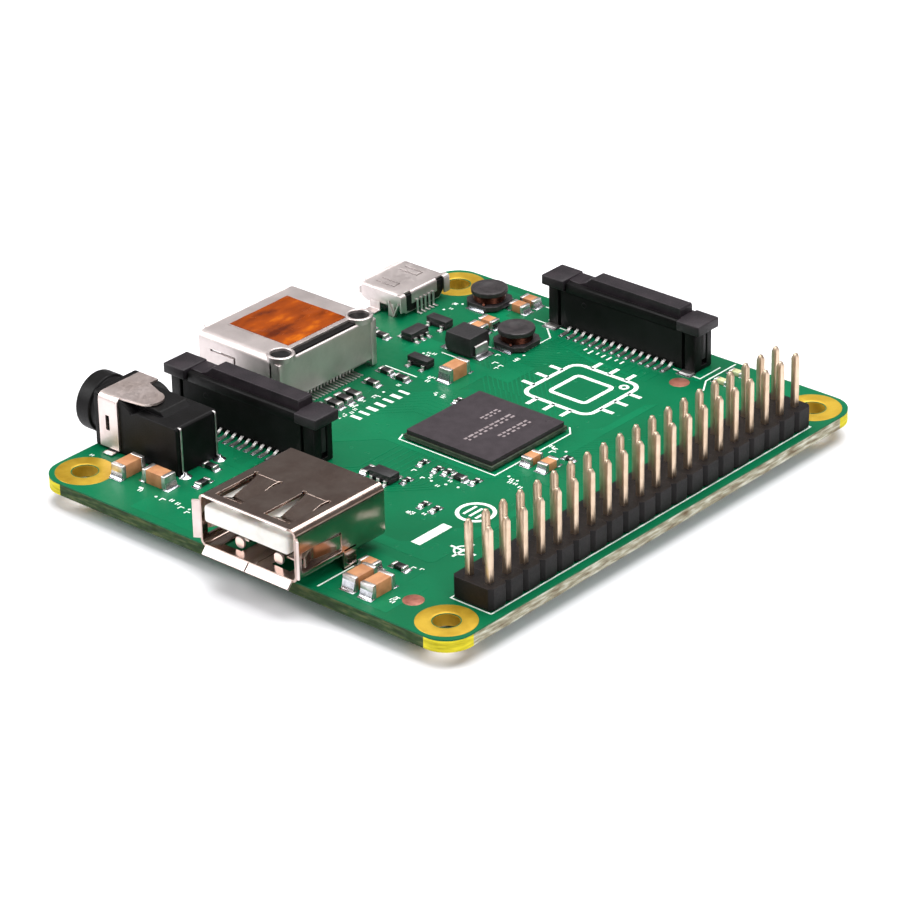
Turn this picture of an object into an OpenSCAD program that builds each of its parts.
// Small single board computer for makers, as an assembly of its separate pieces.
// Origin: centre of the four mounting holes, on the board's underside.
// +X points to the USB socket, +Y to the pin header, +Z out of the component side.

/* [Board] */
// Board length along X
board_l = 65; // [65:1:80]
// Board width along Y
board_w = 56; // [56:1:70]
// Board thickness
board_t = 1.4; // [1.0:0.1:2.0]
// Radius of the board's corners
corner_r = 3; // [2:0.5:5]
// Mounting hole diameter
hole_d = 2.75; // [2.5:0.05:3.2]
// Distance from each edge to a mounting hole's centre
hole_inset = 3.5; // [3.3:0.1:5]
// Diameter of the bare metal ring round a mounting hole
pad_d = 6.2; // [5:0.1:6.4]

/* [Pin header] */
// Number of pin columns
header_columns = 20; // [10:1:20]
// Distance between pins
header_pitch = 2.54; // [2:0.02:2.6]
// Height of the header's plastic strip
header_h = 2.54; // [2:0.1:4]
// Width of a square pin
pin_w = 0.64; // [0.5:0.02:0.7]
// Pin height above the board
pin_rise = 8.55; // [6:0.05:12]
// Pin length below the board
pin_tail = 1.6; // [1.2:0.1:3]

/* [USB socket] */
// Width of the shell
usb_w = 12.9; // [12:0.1:16]
// Height of the shell
usb_h = 5.8; // [5.4:0.1:7]
// Depth of the shell without its lips
usb_l = 12.7; // [11:0.1:16]
// How far the shell stands out past the board's edge
usb_overhang = 1.9; // [0:0.1:4]
// Distance of the socket's centre from the board's front edge
usb_y = 31.75; // [31:0.25:40]

/* [HDMI socket] */
// Width of the shell
hdmi_w = 15.1; // [14.5:0.1:16]
// Depth of the shell
hdmi_l = 11.6; // [10:0.1:13]
// Height of the shell's top above the board
hdmi_h = 6.2; // [5.8:0.1:7.5]
// Distance of the socket's centre from the board's left edge
hdmi_x = 31.95; // [30:0.05:33]

/* [Micro USB socket] */
// Width of the shell
micro_w = 7.5; // [7:0.1:9]
// Depth of the shell
micro_l = 5.9; // [5:0.1:7]
// Height of the shell
micro_h = 2.6; // [2.4:0.1:3.5]
// Distance of the socket's centre from the board's left edge
micro_x = 10.6; // [10:0.1:13]

/* [Flat cable sockets] */
// Contacts in each socket
ffc_contacts = 15; // [10:1:15]
// Distance between contacts
ffc_pitch = 1; // [0.5:0.1:1]
// Depth of a socket across its contacts
ffc_depth = 2.9; // [2.6:0.1:4]
// Height of the housing under the latch's ears
ffc_h = 4.6; // [4:0.1:6]
// Travel of a latch from closed to open
latch_travel = 1.2; // [0.8:0.1:1.5]

/* [Audio socket] */
// Width of the body
jack_w = 6; // [5.6:0.1:7.5]
// Depth of the body on the board
jack_l = 11; // [10:0.1:13]
// Height of the rear of the body
jack_h = 5.4; // [5.4:0.1:7]
// Diameter of the round nose
nose_d = 6.4; // [6:0.1:7.5]
// Diameter of the bore that takes the plug
jack_bore_d = 3.6; // [3.5:0.05:3.7]

/* [Processor] */
// Side of the square package
soc_side = 12; // [10:0.5:14]
// Height of the processor's own package
soc_h = 0.45; // [0.3:0.05:0.8]
// Height of the memory package stacked on it
memory_h = 0.45; // [0.3:0.05:0.8]

/* [Memory card socket] */
// Width of the card socket
card_w = 14.2; // [13.8:0.1:17]
// Depth of the card socket
card_l = 14.6; // [14:0.1:17]
// Height of the card socket below the board
card_h = 1.5; // [1.4:0.05:1.55]
// Travel of the push-push slider
slider_travel = 1.2; // [0.8:0.1:1.5]

/* [Hidden] */

// Roundness of bores, pads and drums
$fn = 48;
// Tiny step that carries a cut past a face
cut = 0.5;
// Sheet thickness of the USB, HDMI and card shells
sheet = 0.3;
// Thickness of copper or print that lies on the board
film = 0.05;
// Gap round a piece that passes through or slides in another
gap = 0.1;
// How far soldered legs reach below the board
leg_tail = 0.9;

// Places on the board, measured from its edges
function from_left(a) = a - board_l / 2;
function from_right(a) = board_l / 2 - a;
function from_front(a) = a - board_w / 2;
function from_back(a) = board_w / 2 - a;

// A block between two corners given axis by axis
module span(x, y, z) {
    translate([x[0], y[0], z[0]]) cube([x[1] - x[0], y[1] - y[0], z[1] - z[0]]);
}

// An outline drawn from above, raised between two heights
module prism_z(z) {
    translate([0, 0, z[0]]) linear_extrude(z[1] - z[0]) children();
}

module mirror_y() {
    children();
    mirror([0, 1, 0]) children();
}

module mirror_x() {
    children();
    mirror([1, 0, 0]) children();
}

// ---------- Board ----------
hole_x = board_l / 2 - hole_inset;
hole_y = board_w / 2 - hole_inset;
module at_holes() {
    for (sx = [-1, 1], sy = [-1, 1]) translate([sx * hole_x, sy * hole_y, 0]) children();
}

header_y = hole_y;
header_l = header_columns * header_pitch;
header_w = 2 * header_pitch;
function column_x(i) = (i - (header_columns - 1) / 2) * header_pitch;
module at_pins() {
    for (i = [0 : header_columns - 1], row = [-0.5, 0.5])
        translate([column_x(i), header_y + row * header_pitch, 0]) children();
}

usb_rear = from_right(usb_l - usb_overhang);
usb_front = usb_rear + usb_l;
usb_mid = from_front(usb_y);
// Gap between the board and the bottom of the USB shell
usb_lift = 1.2;
usb_z = board_t + usb_lift;
usb_leg_x = usb_rear + 4.2;
usb_leg_w = 1.8;
usb_contact_x = usb_rear + 1.2;
usb_contacts_y = [-3.5, -1, 1, 3.5];

hdmi_mid = from_left(hdmi_x);
hdmi_overhang = 1.4;
hdmi_mouth = from_front(-hdmi_overhang);
hdmi_rear = hdmi_mouth + hdmi_l;
hdmi_leg_y = [hdmi_mouth + 3.2, hdmi_mouth + 8.8];
hdmi_leg_w = 1.2;

micro_mid = from_left(micro_x);
micro_overhang = 1.1;
micro_mouth = from_front(-micro_overhang);
micro_rear = micro_mouth + micro_l;
// Height of the shell above the board
micro_lift = 0.25;
micro_z = board_t + micro_lift;
micro_leg_y = micro_mouth + 3.9;
micro_leg_w = 0.9;

module at_usb_sides() {
    translate([0, usb_mid, 0]) mirror_y() children();
}

// Slots in the board for the legs of the metal shells, each wider than its leg by the gap
module leg_slots(grow) {
    at_usb_sides() span([usb_leg_x - grow, usb_leg_x + usb_leg_w + grow],
        [usb_w / 2 - sheet - grow, usb_w / 2 + grow], [-leg_tail, board_t + cut]);
    for (y = hdmi_leg_y) translate([hdmi_mid, 0, 0]) mirror_x()
        span([hdmi_w / 2 - sheet - grow, hdmi_w / 2 + grow],
            [y - grow, y + hdmi_leg_w + grow], [-leg_tail, board_t + cut]);
    translate([micro_mid, 0, 0]) mirror_x()
        span([micro_w / 2 - sheet - grow, micro_w / 2 + grow],
            [micro_leg_y - grow, micro_leg_y + micro_leg_w + grow], [-leg_tail, board_t + cut]);
}

module board_outline() {
    x = board_l / 2 - corner_r;
    y = board_w / 2 - corner_r;
    square([board_l, 2 * y], center = true);
    square([2 * x, board_w], center = true);
    for (sx = [-1, 1], sy = [-1, 1]) translate([sx * x, sy * y]) circle(corner_r, $fn = 64);
}

pin_hole_d = pin_w * 1.6;
usb_tail_w = 0.5;
// Holes in the board, and notches in the shell's floor, round the USB tails
usb_notch_d = usb_tail_w * 1.9;

module board() {
    color("seagreen") difference() {
        linear_extrude(board_t) board_outline();
        at_holes() translate([0, 0, -cut]) cylinder(d = hole_d, h = board_t + 2 * cut);
        at_pins() translate([0, 0, -cut]) cylinder(d = pin_hole_d, h = board_t + 2 * cut, $fn = 24);
        for (y = usb_contacts_y) translate([usb_contact_x, usb_mid + y, -cut])
            cylinder(d = usb_notch_d, h = board_t + 2 * cut, $fn = 24);
        leg_slots(gap);
    }
}

// Bare metal rings on both faces, just clear of the hole's edge
module hole_pads() {
    color("goldenrod") at_holes() for (z = [-film, board_t]) translate([0, 0, z]) difference() {
        cylinder(d = pad_d, h = film);
        translate([0, 0, -cut]) cylinder(d = hole_d + 2 * gap, h = film + 2 * cut);
    }
}

// Round copper marks that the assembly machine looks for
module fiducials() {
    fiducial_d = 2.2;
    color("rosybrown") {
        translate([from_right(4.5), from_front(47.4), board_t]) cylinder(d = fiducial_d, h = film);
        translate([from_left(7.5), from_front(38), board_t]) cylinder(d = fiducial_d, h = film);
    }
}

// ---------- Pin header ----------
// One column of the strip, with its four corners cut off as a notch towards its neighbours
module header_column() {
    notch = 0.16;
    c = header_pitch * notch;
    x = header_pitch / 2;
    y = header_w / 2;
    linear_extrude(header_h) difference() {
        polygon([[-x, -y + c], [-x + c, -y], [x - c, -y], [x, -y + c],
            [x, y - c], [x - c, y], [-x + c, y], [-x, y - c]]);
        for (row = [-0.5, 0.5]) translate([0, row * header_pitch]) square(pin_w, center = true);
    }
}

module header_strip() {
    color([0.11, 0.10, 0.11]) for (i = [0 : header_columns - 1])
        translate([column_x(i), header_y, board_t]) header_column();
}

// A pin's outline seen from one side: square shank, both ends tapered to a small flat
module pin_profile() {
    top = board_t + pin_rise;
    w = pin_w / 2;
    tip = pin_w / 4;
    taper = pin_w * 0.8;
    polygon([[-tip, -pin_tail], [tip, -pin_tail], [w, taper / 2 - pin_tail], [w, top - taper],
        [tip, top], [-tip, top], [-w, top - taper], [-w, taper / 2 - pin_tail]]);
}

module header_pins() {
    color("palegoldenrod") intersection() {
        for (i = [0 : header_columns - 1]) translate([column_x(i), header_y + header_pitch, 0])
            rotate([90, 0, 0]) linear_extrude(header_w) pin_profile();
        for (row = [-0.5, 0.5]) translate([-header_l / 2, header_y + row * header_pitch, 0])
            rotate([90, 0, 90]) linear_extrude(header_l) pin_profile();
    }
}

// Cone of solder on the underside round each pin
module pin_solder() {
    cone_h = 1;
    tip_d = pin_w * 1.5;
    foot_d = header_pitch * 0.66;
    color("silver") difference() {
        at_pins() translate([0, 0, -cone_h]) cylinder(d1 = tip_d, d2 = foot_d, h = cone_h, $fn = 24);
        at_pins() translate([-pin_w / 2, -pin_w / 2, -cone_h - cut])
            cube([pin_w, pin_w, cone_h + 2 * cut]);
    }
}

// Height of the solder under the legs of the metal shells
leg_solder_h = 0.5;
module solder_cone(leg_w) {
    translate([0, 0, -leg_solder_h]) cylinder(d1 = leg_w * 1.3, d2 = leg_w * 1.6, h = leg_solder_h);
}

// Solder round the legs and tails of the sockets, on the underside
module leg_solder() {
    color("silver") difference() {
        union() {
            at_usb_sides() translate([usb_leg_x + usb_leg_w / 2, usb_w / 2 - sheet / 2, 0])
                solder_cone(usb_leg_w);
            for (y = hdmi_leg_y) translate([hdmi_mid, y + hdmi_leg_w / 2, 0]) mirror_x()
                translate([hdmi_w / 2 - sheet / 2, 0, 0]) solder_cone(hdmi_leg_w);
            translate([micro_mid, micro_leg_y + micro_leg_w / 2, 0]) mirror_x()
                translate([micro_w / 2 - sheet / 2, 0, 0]) solder_cone(micro_leg_w);
            for (y = usb_contacts_y) translate([usb_contact_x, usb_mid + y, 0])
                solder_cone(usb_tail_w * 1.5);
        }
        leg_slots(0);
        for (y = usb_contacts_y) usb_tail(y, -leg_tail);
        // the solder keeps clear of the bare rings
        at_holes() translate([0, 0, -leg_tail]) cylinder(d = pad_d + 2 * gap, h = leg_tail + cut);
    }
}

// ---------- USB socket ----------
usb_lip = 1.5;
tongue_t = 1.84;
// Free height between the shell's roof and the tongue
tongue_drop = 0.7;
usb_roof = usb_z + usb_h - sheet;
tongue_top = usb_roof - tongue_drop;
tongue_under = tongue_top - tongue_t;
usb_block_l = 4.5;
// How far the contact strips stop short of the mouth
usb_strip_back = 1;

// The upright tail of one contact, from a height up to the tongue
module usb_tail(y, low) {
    translate([usb_contact_x, usb_mid + y, 0])
        span([-usb_tail_w / 2, usb_tail_w / 2], [-usb_tail_w / 2, usb_tail_w / 2],
            [low, tongue_under + sheet]);
}

// Slits round one spring finger, cut from the shell's roof
module finger_slits(length, width, depth) {
    slit = 0.35;
    span([0, length], [-width / 2, -width / 2 + slit], depth);
    span([0, length], [width / 2 - slit, width / 2], depth);
    span([length - 2 * slit, length], [-width / 2, width / 2], depth);
}

// Folded shell, open at both ends, with its springs, side windows and tail notches cut out
module usb_tube() {
    finger_l = 5.4;
    finger_w = 3.2;
    finger_x = usb_front - 6.6;
    window_x = usb_front - 7.4;
    window_l = 5.2;
    window_h = 0.6;
    window_z = usb_z + 1.9;
    difference() {
        translate([0, usb_mid, 0])
            span([usb_rear, usb_front], [-usb_w / 2, usb_w / 2], [usb_z, usb_z + usb_h]);
        translate([0, usb_mid, 0]) span([usb_rear - cut, usb_front + cut],
            [sheet - usb_w / 2, usb_w / 2 - sheet], [usb_z + sheet, usb_roof]);
        for (y = [-usb_w / 4, usb_w / 4]) translate([finger_x, usb_mid + y, 0])
            finger_slits(finger_l, finger_w, [usb_z - cut, usb_z + usb_h + cut]);
        translate([0, usb_mid, 0]) span([window_x, window_x + window_l],
            [-usb_w / 2 - cut, usb_w / 2 + cut], [window_z, window_z + window_h]);
        for (y = usb_contacts_y) translate([usb_contact_x, usb_mid + y, usb_z - cut])
            cylinder(d = usb_notch_d, h = sheet + 2 * cut, $fn = 24);
    }
}

// Lips round the mouth, flared outwards
module usb_lips() {
    flare = 0.5;
    side_lip_low = 1.4;
    side_lip_drop = 0.4;
    long_lip_in = 0.6;
    roof_rise = 0.3;
    floor_drop = 0.6;
    tip_x = usb_front + usb_lip;
    mirror_y() prism_z([usb_z + side_lip_low, usb_z + usb_h - side_lip_drop])
        polygon([[usb_front, usb_w / 2 - sheet], [tip_x, usb_w / 2 + flare - sheet],
            [tip_x, usb_w / 2 + flare], [usb_front, usb_w / 2]]);
    rotate([90, 0, 0]) translate([0, 0, long_lip_in - usb_w / 2])
        linear_extrude(usb_w - 2 * long_lip_in) {
            polygon([[usb_front, usb_roof], [tip_x, usb_roof + roof_rise],
                [tip_x, usb_roof + roof_rise + sheet], [usb_front, usb_roof + sheet]]);
            polygon([[usb_front, usb_z], [tip_x, usb_z - floor_drop],
                [tip_x, usb_z - floor_drop + sheet], [usb_front, usb_z + sheet]]);
        }
}

module usb_shell() {
    color("silver") {
        usb_tube();
        translate([0, usb_mid, 0]) usb_lips();
        // legs through the board
        at_usb_sides() span([usb_leg_x, usb_leg_x + usb_leg_w], [usb_w / 2 - sheet, usb_w / 2],
            [-leg_tail, usb_z + sheet]);
    }
}

module usb_insulator() {
    tongue_side = 0.6;
    tongue_out = 0.3;
    tongue_w = usb_w - 2 * sheet - 2 * tongue_side;
    color("white") difference() {
        translate([0, usb_mid, 0]) {
            span([usb_rear, usb_rear + usb_block_l], [sheet - usb_w / 2, usb_w / 2 - sheet],
                [usb_z + sheet, usb_roof]);
            span([usb_rear + usb_block_l - cut, usb_front + tongue_out],
                [-tongue_w / 2, tongue_w / 2], [tongue_under, tongue_top]);
        }
        for (y = usb_contacts_y) {
            usb_tail(y, 0);
            translate([0, usb_mid + y, 0]) span([usb_contact_x, usb_front - usb_strip_back],
                [-usb_tail_w / 2, usb_tail_w / 2], [tongue_under - cut, tongue_under + sheet]);
        }
    }
}

// Four strips under the tongue, each with a tail down through the board
module usb_contacts() {
    color("gold") for (y = usb_contacts_y) {
        translate([0, usb_mid + y, 0]) span([usb_contact_x, usb_front - usb_strip_back],
            [-usb_tail_w / 2, usb_tail_w / 2], [tongue_under, tongue_under + sheet]);
        usb_tail(y, -leg_tail);
    }
}

// ---------- HDMI socket ----------
// Height of the shell's floor above the board
hdmi_lift = 0.15;
hdmi_z = board_t + hdmi_lift;
hdmi_top = board_t + hdmi_h;
hdmi_pins = 19;
hdmi_pin_pitch = 0.5;
hdmi_block_l = 3;
hdmi_tongue_t = 1.3;
hdmi_tongue_lift = 2.2;
hdmi_tongue_z = hdmi_z + hdmi_tongue_lift;

module hdmi_shell() {
    rear_wall_lift = 0.9;
    post_w = 1.8;
    rear_wall_cut = 1;
    leg_top_drop = 1;
    finger_l = 4;
    finger_w = 2.2;
    finger_y = hdmi_mouth + 6.2;
    color("gainsboro") translate([hdmi_mid, 0, 0]) difference() {
        union() {
            span([-hdmi_w / 2, hdmi_w / 2], [hdmi_mouth, hdmi_rear], [hdmi_z, hdmi_top]);
            mirror_x() for (y = hdmi_leg_y) span([hdmi_w / 2 - sheet, hdmi_w / 2],
                [y, y + hdmi_leg_w], [-leg_tail, hdmi_top - leg_top_drop]);
        }
        // hollow for the plug and the insulator, open at the mouth
        span([sheet - hdmi_w / 2, hdmi_w / 2 - sheet], [hdmi_mouth - cut, hdmi_rear - sheet],
            [hdmi_z + sheet, hdmi_top - sheet]);
        // gap under the rear wall for the contact tails
        span([post_w - hdmi_w / 2, hdmi_w / 2 - post_w], [hdmi_rear - rear_wall_cut, hdmi_rear + cut],
            [hdmi_z - cut, hdmi_z + rear_wall_lift]);
        // the floor stops short of the tails
        span([sheet - hdmi_w / 2, hdmi_w / 2 - sheet], [hdmi_rear - hdmi_block_l, hdmi_rear - sheet],
            [hdmi_z - cut, hdmi_z + sheet + cut]);
        // spring fingers in the roof
        for (x = [-hdmi_w / 4, hdmi_w / 4]) translate([x, finger_y, 0]) rotate(-90)
            finger_slits(finger_l, finger_w, [hdmi_top - sheet - cut, hdmi_top + cut]);
    }
}

module hdmi_insulator() {
    tongue_side = 0.6;
    tongue_back = 1;
    block_z = hdmi_z + 1;
    tongue_w = hdmi_pins * hdmi_pin_pitch + 2 * tongue_side;
    color([0.12, 0.12, 0.13]) translate([hdmi_mid, 0, 0]) difference() {
        union() {
            span([sheet - hdmi_w / 2, hdmi_w / 2 - sheet],
                [hdmi_rear - hdmi_block_l, hdmi_rear - sheet], [block_z, hdmi_top - sheet]);
            span([-tongue_w / 2, tongue_w / 2],
                [hdmi_mouth + tongue_back, hdmi_rear - hdmi_block_l + cut],
                [hdmi_tongue_z, hdmi_tongue_z + hdmi_tongue_t]);
        }
        hdmi_strips();
    }
}

// Strips under the tongue, each bent down to a tail on the board
module hdmi_strips() {
    w = hdmi_pin_pitch * 0.5;
    strip_back = 1.4;
    strip_t = 0.2;
    tail_t = 0.15;
    bend_y = hdmi_rear - 0.7;
    tail_y = hdmi_rear + 0.7;
    for (i = [0 : hdmi_pins - 1]) translate([(i - (hdmi_pins - 1) / 2) * hdmi_pin_pitch, 0, 0]) {
        span([-w / 2, w / 2], [hdmi_mouth + strip_back, bend_y],
            [hdmi_tongue_z, hdmi_tongue_z + strip_t]);
        span([-w / 2, w / 2], [bend_y - strip_t, bend_y], [board_t, hdmi_tongue_z + strip_t]);
        span([-w / 2, w / 2], [bend_y - strip_t, tail_y], [board_t, board_t + tail_t]);
    }
}

module hdmi_contacts() {
    color("silver") translate([hdmi_mid, 0, 0]) hdmi_strips();
}

// Amber film on the roof, where the placing machine holds the socket
module hdmi_pickup_tape() {
    tape_l = 8.9;
    tape_w = 8.5;
    tape_shift = -0.2;
    tape_y = hdmi_mouth + 5.7;
    color("darkorange") translate([hdmi_mid + tape_shift, tape_y, hdmi_top])
        translate([-tape_l / 2, -tape_w / 2, 0]) cube([tape_l, tape_w, film]);
}

// ---------- Micro USB socket ----------
micro_pins = 5;
micro_pin_pitch = 0.65;

// Outline of the shell seen from its mouth, the lower corners cut back
module micro_outline(inset) {
    x = micro_w / 2 - inset;
    low = inset;
    high = micro_h - inset;
    bevel = 1;
    polygon([[-x, high], [-x, low + bevel], [-x + bevel, low], [x - bevel, low],
        [x, low + bevel], [x, high]]);
}

module micro_usb_shell() {
    rim_in = 0.8;
    rim_out = 0.4;
    rim_rise = 0.35;
    color("silver") translate([micro_mid, 0, micro_z]) {
        difference() {
            translate([0, micro_rear, 0]) rotate([90, 0, 0]) linear_extrude(micro_l) micro_outline(0);
            translate([0, micro_rear + cut, 0]) rotate([90, 0, 0])
                linear_extrude(micro_l + 2 * cut) micro_outline(sheet);
        }
        // flared rim of the mouth
        span([rim_in - micro_w / 2, micro_w / 2 - rim_in], [micro_mouth - rim_out, micro_mouth + gap],
            [micro_h - sheet / 2, micro_h + rim_rise]);
        mirror_x() span([micro_w / 2 - sheet, micro_w / 2], [micro_leg_y, micro_leg_y + micro_leg_w],
            [-leg_tail - micro_z, micro_h / 2]);
    }
}

// Height of the tongue's underside, and of the strips on it
micro_tongue_z = micro_h - 1.3;

module micro_usb_insulator() {
    block_l = 1.6;
    tongue_w = 3.8;
    tongue_t = 0.6;
    tongue_back = 0.9;
    color([0.12, 0.12, 0.13]) translate([micro_mid, 0, micro_z]) difference() {
        union() {
            translate([0, micro_rear, 0]) rotate([90, 0, 0]) linear_extrude(block_l)
                micro_outline(sheet);
            span([-tongue_w / 2, tongue_w / 2],
                [micro_mouth + tongue_back, micro_rear - block_l + cut],
                [micro_tongue_z, micro_tongue_z + tongue_t]);
        }
        micro_strips();
    }
}

// Strips under the tongue, each bent down to a tail on the board
module micro_strips() {
    w = micro_pin_pitch * 0.5;
    strip_t = 0.15;
    strip_back = 1.2;
    bend_y = micro_rear + 0.2;
    tail_y = micro_rear + 0.8;
    for (i = [0 : micro_pins - 1]) translate([(i - (micro_pins - 1) / 2) * micro_pin_pitch, 0, 0]) {
        span([-w / 2, w / 2], [micro_mouth + strip_back, bend_y],
            [micro_tongue_z, micro_tongue_z + strip_t]);
        span([-w / 2, w / 2], [bend_y - strip_t, bend_y], [-micro_lift, micro_tongue_z + strip_t]);
        span([-w / 2, w / 2], [bend_y - strip_t, tail_y], [-micro_lift, strip_t - micro_lift]);
    }
}

module micro_usb_contacts() {
    color("gold") translate([micro_mid, 0, micro_z]) micro_strips();
}

// ---------- Flat cable sockets ----------
// Each socket is drawn about its centre, contacts towards +X, front face at x = 0
ffc_row = (ffc_contacts - 1) * ffc_pitch;
// How far the housing reaches past the outer contacts, both ends together
ffc_ends = 6.2;
ffc_l = ffc_row + ffc_ends;
ffc_wall = 0.7;
ffc_wall_rise = 0.95;
ffc_wall_top = ffc_h + ffc_wall_rise;
ffc_slot = 0.9;
ffc_slot_l = ffc_row + 2;
ffc_slot_floor = 1;
ear_l = 2.4;

module at_camera() {
    translate([from_left(46.4), from_front(11.3), board_t]) children();
}

module at_display() {
    translate([from_left(5), from_front(28), board_t]) children();
}

module ffc_housing() {
    groove_deep = 0.5;
    groove_low = 0.5;
    groove_drop = 0.6;
    difference() {
        union() {
            span([-ffc_depth, 0], [-ffc_l / 2, ffc_l / 2], [0, ffc_h]);
            span([-ffc_wall, 0], [ear_l - ffc_l / 2, ffc_l / 2 - ear_l], [ffc_h - cut, ffc_wall_top]);
        }
        // slot for the cable and the latch's blade
        span([-ffc_wall - ffc_slot, -ffc_wall], [-ffc_slot_l / 2, ffc_slot_l / 2],
            [ffc_slot_floor, ffc_wall_top + cut]);
        // grooves at both ends
        mirror_y() span([-ffc_depth * 0.72, -ffc_depth * 0.42],
            [ffc_l / 2 - groove_deep, ffc_l / 2 + cut], [groove_low, ffc_h - groove_drop]);
        ffc_strips();
    }
}

// Contacts: a strip up one wall of the slot and a tail out to the board
module ffc_strips() {
    w = ffc_pitch * 0.35;
    strip_t = 0.2;
    strip_drop = 1;
    tail_l = 1.6;
    for (i = [0 : ffc_contacts - 1]) translate([0, i * ffc_pitch - ffc_row / 2, 0]) {
        span([-ffc_wall, strip_t - ffc_wall], [-w / 2, w / 2], [0, ffc_h - strip_drop]);
        span([-ffc_wall, tail_l], [-w / 2, w / 2], [0, strip_t]);
    }
}

module ffc_latch() {
    z = ffc_h + gap / 2;
    inner = -ffc_wall - gap;
    back = -ffc_depth - 0.3;
    ear_front = 0.35;
    ear_out = 0.7;
    ear_t = 1.15;
    bar_t = 0.95;
    rib_start = 4.2;
    rib_end = 2.6;
    rib_t = 1.95;
    blade_t = 0.4;
    blade_depth = 1.5;
    // ears beyond both ends
    mirror_y() span([back, ear_front], [ffc_l / 2 - ear_l + gap, ffc_l / 2 + ear_out], [z, z + ear_t]);
    // bar behind the wall, with its raised rib
    span([back, inner], [ear_l - ffc_l / 2, ffc_l / 2 - ear_l + 2 * gap], [z, z + bar_t]);
    span([-ffc_depth, inner], [rib_start - ffc_l / 2, ffc_l / 2 - rib_end], [z, z + rib_t]);
    // blade that presses the cable against the contacts
    span([inner - blade_t, inner], [gap - ffc_slot_l / 2, ffc_slot_l / 2 - gap],
        [ffc_h - blade_depth, z + bar_t / 2]);
}

module camera_housing() {
    color([0.08, 0.08, 0.09]) at_camera() ffc_housing();
}

module camera_latch() {
    color([0.15, 0.13, 0.15]) at_camera() ffc_latch();
}

module camera_contacts() {
    color("silver") at_camera() ffc_strips();
}

module display_housing() {
    color([0.08, 0.08, 0.09]) at_display() ffc_housing();
}

module display_latch() {
    color([0.15, 0.13, 0.15]) at_display() ffc_latch();
}

module display_contacts() {
    color("silver") at_display() ffc_strips();
}

// ---------- Audio socket ----------
// Height of the bore's axis above the board
jack_z = nose_d / 2 + gap;
// Distance from the board's front edge back to the body
jack_front = 0.9;
nose_out = 3.5;
clip_t = 0.25;
clip_l = 6.4;
clip_side_l = 2.8;
shoulder_h = nose_d - clip_t;

module at_jack() {
    translate([from_left(53.5), from_front(jack_front), board_t]) children();
}

module audio_body() {
    collar = 0.5;
    collar_side = 0.2;
    rear_wall = 0.8;
    slope_l = 2.2;
    slope_low = 1;
    color([0.09, 0.09, 0.1]) at_jack() difference() {
        union() {
            span([-jack_w / 2, jack_w / 2], [0, jack_l], [0, jack_h]);
            // shoulder under the clip, sloping down to the rear
            rotate([90, 0, 90]) translate([0, 0, -jack_w / 2]) linear_extrude(jack_w)
                polygon([[0, slope_low], [0, shoulder_h], [clip_l, shoulder_h],
                    [clip_l + slope_l, jack_h], [clip_l + slope_l, slope_low]]);
            span([-jack_w / 2 - collar_side, jack_w / 2 + collar_side], [-collar, 0], [0, nose_d]);
            translate([0, -nose_out, jack_z]) rotate([-90, 0, 0]) cylinder(d = nose_d, h = nose_out);
        }
        translate([0, -nose_out - cut, jack_z]) rotate([-90, 0, 0])
            cylinder(d = jack_bore_d, h = nose_out + jack_l - rear_wall + cut);
        audio_legs();
    }
}

// Spring clip over the front of the body, with a slot in its side
module audio_clip() {
    side_x = jack_w / 2;
    side_low = 0.4;
    tongue_left = 1;
    tongue_right = 0.6;
    slot_y = [1, 1.6];
    slot_z = [2.3, 4];
    color("silver") at_jack() {
        span([-side_x, side_x + clip_t], [gap, clip_side_l], [shoulder_h, shoulder_h + clip_t]);
        span([tongue_left - side_x, side_x - tongue_right], [clip_side_l - gap, clip_l],
            [shoulder_h, shoulder_h + clip_t]);
        difference() {
            span([side_x, side_x + clip_t], [gap, clip_side_l], [side_low, shoulder_h + gap]);
            span([side_x - cut, side_x + clip_t + cut], slot_y, slot_z);
        }
    }
}

// Two thin legs down the rear face, with feet on the board
module audio_legs() {
    leg_w = 0.4;
    leg_in = 0.25;
    leg_out = 0.05;
    foot_l = 0.9;
    foot_t = 0.2;
    leg_drop = 0.2;
    for (x = [0.4 - jack_w / 2, jack_w / 2 - 0.6]) translate([x, jack_l, 0]) {
        span([-leg_w / 2, leg_w / 2], [-leg_in, leg_out], [0, jack_h - leg_drop]);
        span([-leg_w / 2, leg_w / 2], [-leg_in, foot_l], [0, foot_t]);
    }
}

module audio_contacts() {
    color("silver") at_jack() audio_legs();
}

// ---------- Processor and memory stack ----------
ball_h = 0.2;
ball_d = 0.45;

module at_soc() {
    translate([from_left(29.75), from_front(30.1), board_t]) children();
}

module plate(side, z, h) {
    translate([-side / 2, -side / 2, z]) cube([side, side, h]);
}

module processor_package() {
    color("darkseagreen") at_soc() plate(soc_side, ball_h, soc_h);
}

module memory_package() {
    memory_side = soc_side - 0.4;
    color([0.24, 0.21, 0.24]) at_soc() plate(memory_side, ball_h + soc_h + film, memory_h);
}

// A ring of balls between the board and the processor, and the layer under the memory
module solder_balls() {
    per_side = 14;
    ring_side = soc_side - 1.2;
    pitch = ring_side / (per_side - 1);
    layer_side = soc_side - 1.4;
    color("silver") at_soc() {
        for (i = [0 : per_side - 1], s = [-1, 1]) {
            translate([i * pitch - ring_side / 2, s * ring_side / 2, 0]) ball();
            if (i > 0 && i < per_side - 1)
                translate([s * ring_side / 2, i * pitch - ring_side / 2, 0]) ball();
        }
        plate(layer_side, ball_h + soc_h, film);
    }
}

module ball() {
    cylinder(d = ball_d, h = ball_h, $fn = 16);
}

// ---------- Power parts ----------
drum_d = 4.1;
drum_flange = 0.6;
neck_d = drum_d * 0.55;
inductor_base = 4.4;
inductor_h = 2.1;
inductor_foot = 0.7;
terminal_t = 0.15;
// Places of the two power inductors, from the left and front edges
inductor_at = [[5.2, 9.6], [11.1, 18.5]];

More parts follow.
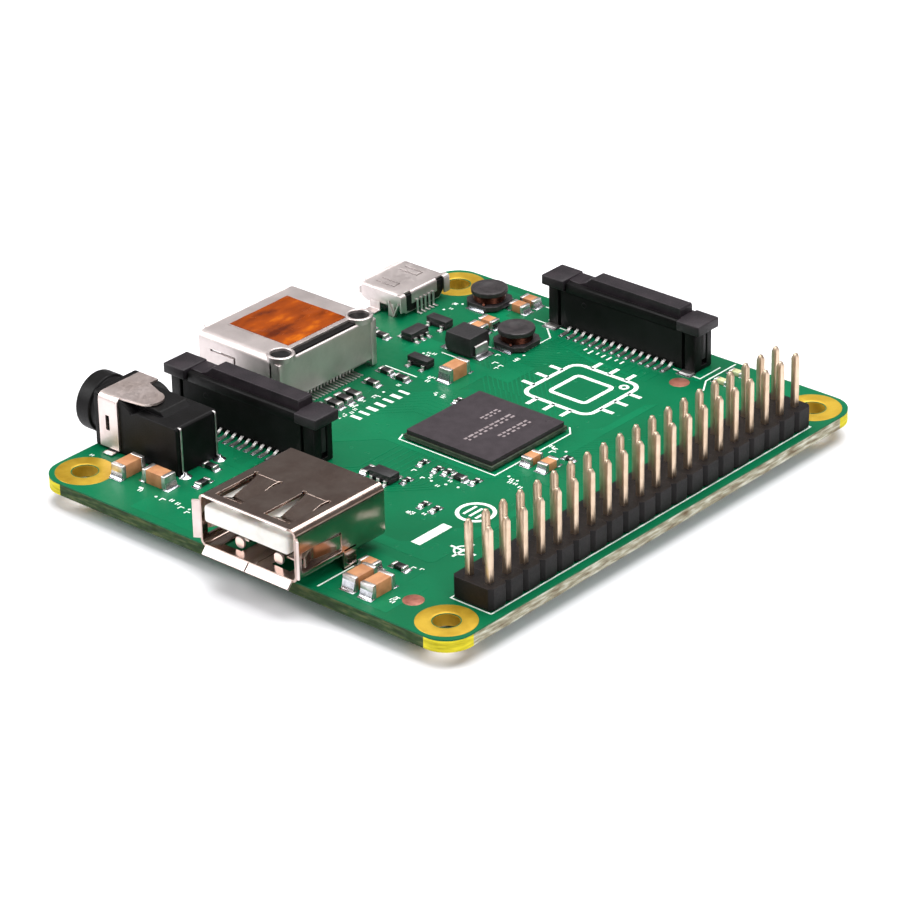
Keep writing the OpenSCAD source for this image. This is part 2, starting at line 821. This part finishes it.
module at_inductors() {
    for (p = inductor_at) translate([from_left(p[0]), from_front(p[1]), board_t]) children();
}

module disc(d, z0, z1) {
    translate([0, 0, z0]) cylinder(d = d, h = z1 - z0);
}

// Eight-sided base, and a drum with a narrow neck that the wire is wound on
module inductor_cores() {
    c = inductor_base / 2;
    k = c * 0.6;
    flange_z = inductor_h - drum_flange;
    color([0.2, 0.18, 0.2]) at_inductors() {
        prism_z([terminal_t, inductor_foot])
            polygon([[-c, -k], [-k, -c], [k, -c], [c, -k], [c, k], [k, c], [-k, c], [-c, k]]);
        disc(neck_d, inductor_foot, flange_z);
        disc(drum_d, flange_z, inductor_h);
    }
}

module inductor_windings() {
    winding_d = drum_d * 0.88;
    color([0.35, 0.2, 0.12]) at_inductors() difference() {
        disc(winding_d, inductor_foot + film, inductor_h - drum_flange - film);
        disc(neck_d, 0, inductor_h);
    }
}

module inductor_terminals() {
    pad_l = 2.6;
    pad_w = 1.2;
    pad_x = inductor_base * 0.32;
    color("silver") at_inductors() for (s = [-1, 1])
        translate([s * pad_x - pad_w / 2, -pad_l / 2, 0]) cube([pad_w, pad_l, terminal_t]);
}

diode_l = 3.7;
diode_w = 3.3;
diode_h = 2.4;

module at_diode() {
    translate([from_left(15.7), from_front(15.45), board_t]) children();
}

module diode_body() {
    color([0.2, 0.2, 0.22]) at_diode()
        span([-diode_w / 2, diode_w / 2], [-diode_l / 2, diode_l / 2], [terminal_t, diode_h]);
}

// Metal tabs folded up both ends of the diode
module diode_terminals() {
    tab_w = 2;
    tab_t = 0.2;
    tab_h = diode_h * 0.6;
    foot_in = 0.8;
    foot_out = 0.9;
    color("silver") at_diode() mirror_y() {
        span([-tab_w / 2, tab_w / 2], [diode_l / 2, diode_l / 2 + tab_t], [0, tab_h]);
        span([-tab_w / 2, tab_w / 2], [diode_l / 2 - foot_in, diode_l / 2 + foot_out], [0, terminal_t]);
    }
}

// ---------- Small leaded packages ----------
// Body along Y between the lead rows; leads on +X and -X at the listed places along Y
sot_l = 2.9;
sot_h = 1;
sot_lift = 0.1;
lead_t = 0.15;
lead_w = 0.4;
regulator_w = 1.6;
transistor_w = 1.3;
three = [-0.95, 0, 0.95];
two = [-0.95, 0.95];
one = [0];
// Places as x, y and turn: voltage regulator and USB power switch
regulator_at = [[16.65, 8.75, 90], [43.6, 28.5, 0]];
// Places of the two three-legged transistors
transistor_at = [[12.85, 9, 0], [21.5, 13.9, 0]];

// Children at each listed place, measured from the left and front edges
module placed(list) {
    for (p = list) translate([from_left(p[0]), from_front(p[1]), board_t]) rotate(p[2]) children();
}

// Children at each listed place, measured from the right edge and from the rear side of the USB shell
module placed_by_usb(list) {
    usb_side = usb_mid + usb_w / 2;
    for (p = list) translate([from_right(p[0]), usb_side + p[1], board_t]) rotate(p[2]) children();
}

module sot_body(w) {
    span([-w / 2, w / 2], [-sot_l / 2, sot_l / 2], [sot_lift, sot_h]);
}

// A lead comes out at half height, turns down and ends in a foot on the board
module sot_lead(w, y) {
    out = 0.25;
    foot_in = 0.1;
    foot_out = 0.65;
    translate([w / 2, y, 0]) {
        span([0, out], [-lead_w / 2, lead_w / 2], [sot_h / 2 - lead_t, sot_h / 2]);
        span([out - lead_t, out], [-lead_w / 2, lead_w / 2], [0, sot_h / 2]);
        span([foot_in, foot_out], [-lead_w / 2, lead_w / 2], [0, lead_t]);
    }
}

module sot_leads(w, right, left) {
    for (y = right) sot_lead(w, y);
    mirror([1, 0, 0]) for (y = left) sot_lead(w, y);
}

module regulator_bodies() {
    color([0.13, 0.12, 0.13]) placed(regulator_at) sot_body(regulator_w);
}

module regulator_leads() {
    color("silver") placed(regulator_at) sot_leads(regulator_w, three, three);
}

module transistor_bodies() {
    color([0.13, 0.12, 0.13]) placed(transistor_at) sot_body(transistor_w);
}

module transistor_leads() {
    color("silver") placed(transistor_at) sot_leads(transistor_w, two, one);
}

// ---------- Two-ended chips ----------
// A chip is [length, width, height, end length]; the body sits between its two metal ends
large_chip = [3.2, 1.6, 1.5, 0.5];
medium_chip = [2, 1.25, 0.9, 0.4];
small_chip = [1.6, 0.8, 0.45, 0.3];
tiny_chip = [1, 0.5, 0.35, 0.25];
filter_chip = [2, 0.9, 0.6, 0.4];

module chip_body(c) {
    span([c[3] - c[0] / 2, c[0] / 2 - c[3]], [-c[1] / 2, c[1] / 2], [0, c[2]]);
}

module chip_ends(c) {
    mirror_x() span([c[0] / 2 - c[3], c[0] / 2], [-c[1] / 2, c[1] / 2], [0, c[2]]);
}

// Places as x, y and turn; the lists named by_usb are measured as in placed_by_usb
large_at = [[21.3, 18.5, 0], [58.9, 7.2, 0], [58.65, 11.35, 90]];
large_by_usb_at = [[3.6, 5.45, 0], [3.7, 3.05, 0]];
medium_at = [[31.3, 37.7, 0], [31.3, 39.85, 0], [2.6, 13.3, 90], [4.5, 13.3, 90],
    [9.5, 13.2, 90], [11.3, 13.2, 90]];
medium_by_usb_at = [[6.6, 1.7, 90]];
small_at = [[25.2, 12.2, 90], [25.4, 14.6, 90], [28.2, 12.9, 90], [18.9, 5.9, 90],
    [56, 14.9, 0], [52.9, 13, 90], [43.4, 26.1, 0], [38.8, 34.4, 90]];
small_by_usb_at = [[8.4, 4, 90]];
tiny_at = [[38.6, 29.3, 0], [38.8, 31.4, 0], [38.6, 32.6, 0], [38.4, 36.2, 0], [45.4, 35.4, 0],
    [45.4, 37, 0], [25.7, 22.8, 0], [28.6, 40.3, 90], [42.6, 30.6, 0], [18.4, 3.9, 0]];
// Four line filters in a row behind the HDMI socket
filter_first = 31.6;
filter_step = 1.45;
filter_at = [for (i = [0 : 3]) [filter_first + i * filter_step, 13.2, 90]];
led_at = [[2.2, 41.6, 90], [4.8, 41.6, 90]];

module large_capacitor_bodies() {
    color("sandybrown") {
        placed(large_at) chip_body(large_chip);
        placed_by_usb(large_by_usb_at) chip_body(large_chip);
    }
}

module large_capacitor_ends() {
    color("silver") {
        placed(large_at) chip_ends(large_chip);
        placed_by_usb(large_by_usb_at) chip_ends(large_chip);
    }
}

module small_capacitor_bodies() {
    color("burlywood") {
        placed(medium_at) chip_body(medium_chip);
        placed_by_usb(medium_by_usb_at) chip_body(medium_chip);
    }
}

module small_capacitor_ends() {
    color("silver") {
        placed(medium_at) chip_ends(medium_chip);
        placed_by_usb(medium_by_usb_at) chip_ends(medium_chip);
    }
}

module resistor_bodies() {
    color([0.15, 0.14, 0.15]) {
        placed(small_at) chip_body(small_chip);
        placed_by_usb(small_by_usb_at) chip_body(small_chip);
        placed(tiny_at) chip_body(tiny_chip);
    }
}

module resistor_ends() {
    color("silver") {
        placed(small_at) chip_ends(small_chip);
        placed_by_usb(small_by_usb_at) chip_ends(small_chip);
        placed(tiny_at) chip_ends(tiny_chip);
    }
}

module filter_bodies() {
    color([0.16, 0.15, 0.17]) placed(filter_at) chip_body(filter_chip);
}

module filter_ends() {
    color("silver") placed(filter_at) chip_ends(filter_chip);
}

module led_bodies() {
    color("gold") placed(led_at) chip_body(small_chip);
}

module led_ends() {
    color("silver") placed(led_at) chip_ends(small_chip);
}

// ---------- Memory card socket, under the board ----------
card_mouth = from_left(0.6);
card_back = card_mouth + card_l;
card_mid = from_front(28);
card_floor = 0.35;
card_sheet = 0.15;
// How far the mouth of the base stands out of its cover
card_step = 0.6;
card_rear_wall = 1;
// Channel at the +Y side that holds the slider and its spring
channel_w = 2.2;
rail = 0.6;
slider_l = 4.5;
slider_x = card_mouth + 3;
spring_d = 0.62;
card_inner = card_w / 2 - card_sheet - rail;
channel_y = card_inner - channel_w;
// The cover's inner face, and the underside of the base
cover_z = card_sheet - card_h;
base_z = -card_floor;
spring_x0 = slider_x + slider_l + slider_travel + gap;
spring_x1 = card_back - card_rear_wall;

module card_base() {
    side_y = card_w / 2 - card_sheet;
    rail_x = spring_x0 + 3 * gap;
    color([0.12, 0.12, 0.13]) translate([0, card_mid, 0]) difference() {
        union() {
            span([card_mouth, card_back], [-side_y, side_y], [base_z, 0]);
            mirror_y() span([card_mouth + card_step, card_back], [card_inner, side_y],
                [cover_z, base_z + film]);
            span([card_back - card_rear_wall, card_back], [-card_inner - film, card_inner + film],
                [cover_z, base_z + film]);
            // rail between the card and the channel
            span([rail_x, card_back - card_rear_wall / 2], [channel_y - rail, channel_y],
                [cover_z + gap, base_z + film]);
        }
        card_strips();
    }
}

// Folded steel cover round the card, with its floor side facing down
module card_shell() {
    window_l = 2.4;
    window_y = [-4, 3];
    color("silver") translate([0, card_mid, 0]) difference() {
        span([card_mouth + card_step, card_back], [-card_w / 2, card_w / 2], [-card_h, -gap]);
        span([card_mouth, card_back + cut], [card_sheet - card_w / 2, card_w / 2 - card_sheet],
            [cover_z, cut]);
        // cut-out at the mouth that shows the card
        span([card_mouth, card_mouth + window_l], window_y, [-card_h - cut, cover_z + film]);
    }
}

// Eight contact strips on the base, each with a bump for the card and a tail behind the socket
module card_strips() {
    strips = 8;
    pitch = 1.1;
    w = 0.5;
    first = -5.6;
    strip_t = 0.15;
    strip_x = card_mouth + 5;
    bump_l = 0.6;
    tail_l = 0.8;
    for (i = [0 : strips - 1]) translate([0, first + i * pitch, 0]) {
        span([strip_x, card_back + tail_l], [-w / 2, w / 2], [-strip_t, 0]);
        span([strip_x, strip_x + bump_l], [-w / 2, w / 2], [base_z, 0]);
    }
}

module card_contacts() {
    color("gold") translate([0, card_mid, 0]) card_strips();
}

module card_slider() {
    hook_l = 1;
    hook_out = 1.2;
    slider_z = [cover_z + gap, base_z - gap];
    color([0.3, 0.3, 0.32]) translate([0, card_mid, 0]) {
        span([slider_x, slider_x + slider_l], [channel_y + gap, card_inner - gap], slider_z);
        // hook that the card's corner pushes
        span([slider_x + slider_l - hook_l, slider_x + slider_l],
            [channel_y - hook_out, channel_y + 2 * gap], slider_z);
    }
}

// Return spring at its fully pushed length, its coils drawn as rings joined along one side
module card_spring() {
    turns = 9;
    wire = 0.14;
    fill = 0.6;
    step = (spring_x1 - spring_x0) / turns;
    color("silver") translate([0, card_mid + (channel_y + card_inner) / 2, (base_z + cover_z) / 2]) {
        for (i = [0 : turns - 1]) translate([spring_x0 + i * step, 0, 0]) rotate([0, 90, 0])
            difference() {
                cylinder(d = spring_d, h = step * fill, $fn = 24);
                translate([0, 0, -cut])
                    cylinder(d = spring_d - 2 * wire, h = step + 2 * cut, $fn = 24);
            }
        translate([spring_x0, -spring_d / 2, -wire / 2])
            cube([spring_x1 - spring_x0, wire, wire]);
    }
}

board();
hole_pads();
fiducials();
header_strip();
header_pins();
pin_solder();
usb_shell();
usb_insulator();
usb_contacts();
hdmi_shell();
hdmi_insulator();
hdmi_contacts();
hdmi_pickup_tape();
micro_usb_shell();
micro_usb_insulator();
micro_usb_contacts();
camera_housing();
camera_latch();
camera_contacts();
display_housing();
display_latch();
display_contacts();
audio_body();
audio_clip();
audio_contacts();
processor_package();
memory_package();
solder_balls();
inductor_cores();
inductor_windings();
inductor_terminals();
diode_body();
diode_terminals();
regulator_bodies();
regulator_leads();
transistor_bodies();
transistor_leads();
large_capacitor_bodies();
large_capacitor_ends();
small_capacitor_bodies();
small_capacitor_ends();
resistor_bodies();
resistor_ends();
filter_bodies();
filter_ends();
led_bodies();
led_ends();
leg_solder();
card_base();
card_shell();
card_contacts();
card_slider();
card_spring();
